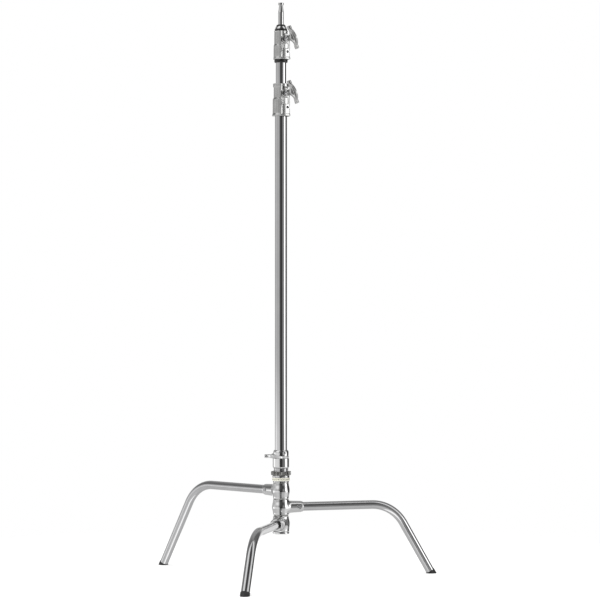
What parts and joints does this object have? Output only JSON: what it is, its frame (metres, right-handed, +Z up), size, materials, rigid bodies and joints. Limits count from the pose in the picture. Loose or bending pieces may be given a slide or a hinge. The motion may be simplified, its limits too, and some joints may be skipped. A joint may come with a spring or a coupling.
{
  "type": "c stand",
  "caption": "C-stand: bent-tube legs that fold around a stacked hub, a lift-out column, telescoping risers locked by T-handle collars, and a baby-pin top.",
  "frame": {"origin": "on the floor plane, where the column's axis meets it", "axes": "+Z up along the column towards the spigot; the fixed front leg points along -Y"},
  "size_m": [0.8449, 0.673, 1.6315],
  "materials": {
    "chrome_tube": "bright chrome-plated steel tube",
    "chrome_cast": "polished chrome-plated casting",
    "chrome_turned": "turned and plated steel",
    "satin_cast": "satin bead-blasted aluminium casting",
    "dark_cast": "dark grey semi-gloss cast ring",
    "black_plastic": "black moulded nylon",
    "black_rubber": "black rubber",
    "nylon": "natural nylon",
    "pale_band": "plain cream printed band",
    "zinc_steel": "bright zinc-plated steel",
    "brass": "plain turned brass"
  },
  "bodies": {
    "base": {"core_tube": "chrome_tube", "bottom_cap": "chrome_cast", "thrust_washers": "nylon", "front_hub": "chrome_cast", "front_leg_tube": "chrome_tube", "front_leg_rivet": "zinc_steel", "front_foot": "black_rubber", "index_collar": "chrome_turned", "label_band": "pale_band", "socket_sleeve": "chrome_cast", "clamp_collet": "nylon", "lock_spring": "zinc_steel"},
    "middle_leg": {"middle_hub": "chrome_cast", "middle_leg_tube": "chrome_tube", "middle_leg_rivet": "zinc_steel", "middle_foot": "black_rubber"},
    "top_leg": {"top_hub": "chrome_cast", "top_leg_tube": "chrome_tube", "top_leg_rivet": "zinc_steel", "top_foot": "black_rubber"},
    "lock_ring": {"leg_lock_ring": "dark_cast", "lock_skirt": "chrome_turned"},
    "release_lever": {"release_ring": "chrome_cast", "release_lever": "chrome_cast"},
    "column": {"column_tube": "chrome_tube", "column_plug": "black_plastic", "lower_collar": "satin_cast", "lower_collar_bush": "nylon", "lower_thread_insert": "zinc_steel", "lower_pinch_screw": "zinc_steel"},
    "lower_shoe": {"lower_brake_shoe": "brass"},
    "lower_handle": {"lower_clamp_screw": "zinc_steel", "lower_t_handle": "satin_cast"},
    "riser_1": {"riser_1_tube": "chrome_tube", "riser_1_guide_bush": "nylon", "upper_collar": "satin_cast", "upper_collar_bush": "nylon", "upper_thread_insert": "zinc_steel", "upper_pinch_screw": "zinc_steel", "upper_bumper_ring": "black_plastic"},
    "upper_shoe": {"upper_brake_shoe": "brass"},
    "upper_handle": {"upper_clamp_screw": "zinc_steel", "upper_t_handle": "satin_cast"},
    "riser_2": {"riser_2_tube": "chrome_tube", "riser_2_guide_bush": "nylon", "cap_bumper_ring": "black_plastic", "spigot_cap": "chrome_cast", "cap_top_ring": "black_plastic", "spigot": "chrome_turned", "spigot_cross_pin": "zinc_steel"}
  },
  "joints": [
    {"name": "middle_leg_fold", "type": "hinge", "parent": "base", "child": "middle_leg", "pos_m": [0, 0, 0.203], "axis": [0, 0, 1], "range_deg": [-120, 0]},
    {"name": "top_leg_fold", "type": "hinge", "parent": "base", "child": "top_leg", "pos_m": [0, 0, 0.2495], "axis": [0, 0, 1], "range_deg": [0, 120]},
    {"name": "lock_ring_lift", "type": "slide", "parent": "base", "child": "lock_ring", "axis": [0, 0, 1], "range_m": [0, 0.006], "stiffness_N_per_m": 1500, "springref_m": -0.004, "deforming": ["lock_spring"]},
    {"name": "release_turn", "type": "hinge", "parent": "base", "child": "release_lever", "pos_m": [0, 0, 0.353], "axis": [0, 0, 1], "range_deg": [0, 75]},
    {"name": "column_lift", "type": "slide", "parent": "base", "child": "column", "axis": [0, 0, 1], "range_m": [0, 0.25]},
    {"name": "riser_1_extend", "type": "slide", "parent": "column", "child": "riser_1", "axis": [0, 0, 1], "range_m": [-0.058, 0.83]},
    {"name": "riser_2_extend", "type": "slide", "parent": "riser_1", "child": "riser_2", "axis": [0, 0, 1], "range_m": [0, 0.83]},
    {"name": "lower_shoe_slide", "type": "slide", "parent": "column", "child": "lower_shoe", "axis": [0.6947, -0.7193, 0], "range_m": [0, 0.00126]},
    {"name": "lower_handle_turn", "type": "hinge", "parent": "lower_shoe", "child": "lower_handle", "pos_m": [0, 0, 1.374], "axis": [0.6947, -0.7193, 0], "range_deg": [0, 360]},
    {"name": "upper_shoe_slide", "type": "slide", "parent": "riser_1", "child": "upper_shoe", "axis": [0.6947, -0.7193, 0], "range_m": [0, 0.00126]},
    {"name": "upper_handle_turn", "type": "hinge", "parent": "upper_shoe", "child": "upper_handle", "pos_m": [0, 0, 1.5275], "axis": [0.6947, -0.7193, 0], "range_deg": [0, 360]}
  ],
  "couplings": [
    {"joint": "lower_shoe_slide", "follows": "lower_handle_turn", "m_per_rad": 0.00019894},
    {"joint": "upper_shoe_slide", "follows": "upper_handle_turn", "m_per_rad": 0.00019894}
  ]
}
